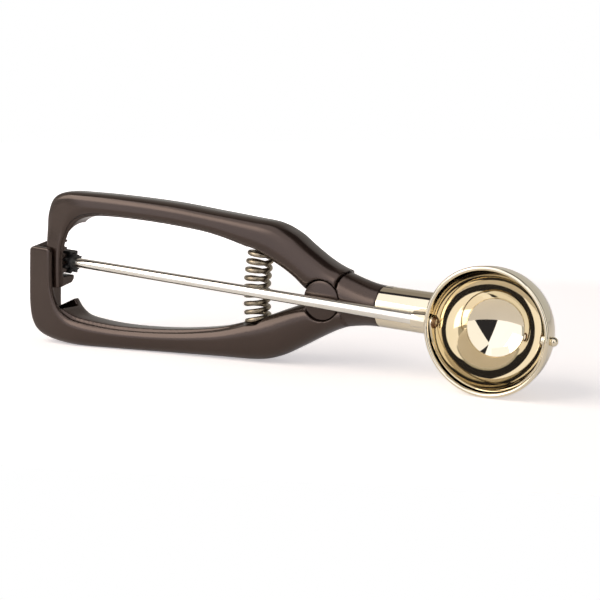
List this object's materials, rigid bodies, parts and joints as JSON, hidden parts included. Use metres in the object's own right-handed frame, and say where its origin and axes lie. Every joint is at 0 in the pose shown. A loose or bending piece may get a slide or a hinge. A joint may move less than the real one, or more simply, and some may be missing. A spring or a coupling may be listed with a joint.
{
  "type": "lever ice cream scoop",
  "caption": "Squeeze-handle ice cream disher: moulded grips, coil spring, rack and pinion, drive rod, hemispherical bowl and sweeping scraper band.",
  "frame": {"origin": "centre of the bowl, on the axis of the drive rod", "axes": "+X along the drive rod towards the bowl's far side, +Y away from the bowl's open side, +Z towards the upper handle"},
  "size_m": [0.2211, 0.0312, 0.0625],
  "materials": {
    "handle_plastic": "glossy dark brown",
    "bowl_chrome": "bright warm chrome plate",
    "rod_chrome": "bright drawn rod",
    "spring_steel": "oiled spring wire",
    "pinion_plastic": "black moulded",
    "bush_plastic": "natural acetal",
    "pin_steel": "turned",
    "rivet_brass": "tarnished"
  },
  "bodies": {
    "frame": {"lower_handle": "handle_plastic", "pivot_pin": "pin_steel", "front_pivot_cap": "handle_plastic", "rear_pivot_cap": "handle_plastic", "return_spring": "spring_steel", "butt_bush": "bush_plastic", "ferrule": "bowl_chrome", "rod_collar": "rod_chrome", "bowl": "bowl_chrome", "ball_pin": "rod_chrome"},
    "lever": {"upper_handle": "handle_plastic"},
    "sweep": {"drive_rod": "rod_chrome", "pinion": "pinion_plastic", "scraper": "bowl_chrome", "scraper_rivet": "rivet_brass"}
  },
  "joints": [
    {"name": "lever_squeeze", "type": "hinge", "parent": "frame", "child": "lever", "pos_m": [-0.066, 0.0101, 0], "axis": [0, -1, 0], "range_deg": [0, 5.42], "stiffness_Nm_per_rad": 2, "springref_deg": -11.46, "deforming": ["return_spring"]},
    {"name": "scraper_sweep", "type": "hinge", "parent": "frame", "child": "sweep", "pos_m": [0, 0, 0], "axis": [1, 0, 0], "range_deg": [0, 164]}
  ],
  "couplings": [
    {"joint": "scraper_sweep", "follows": "lever_squeeze", "ratio": 30.25}
  ]
}
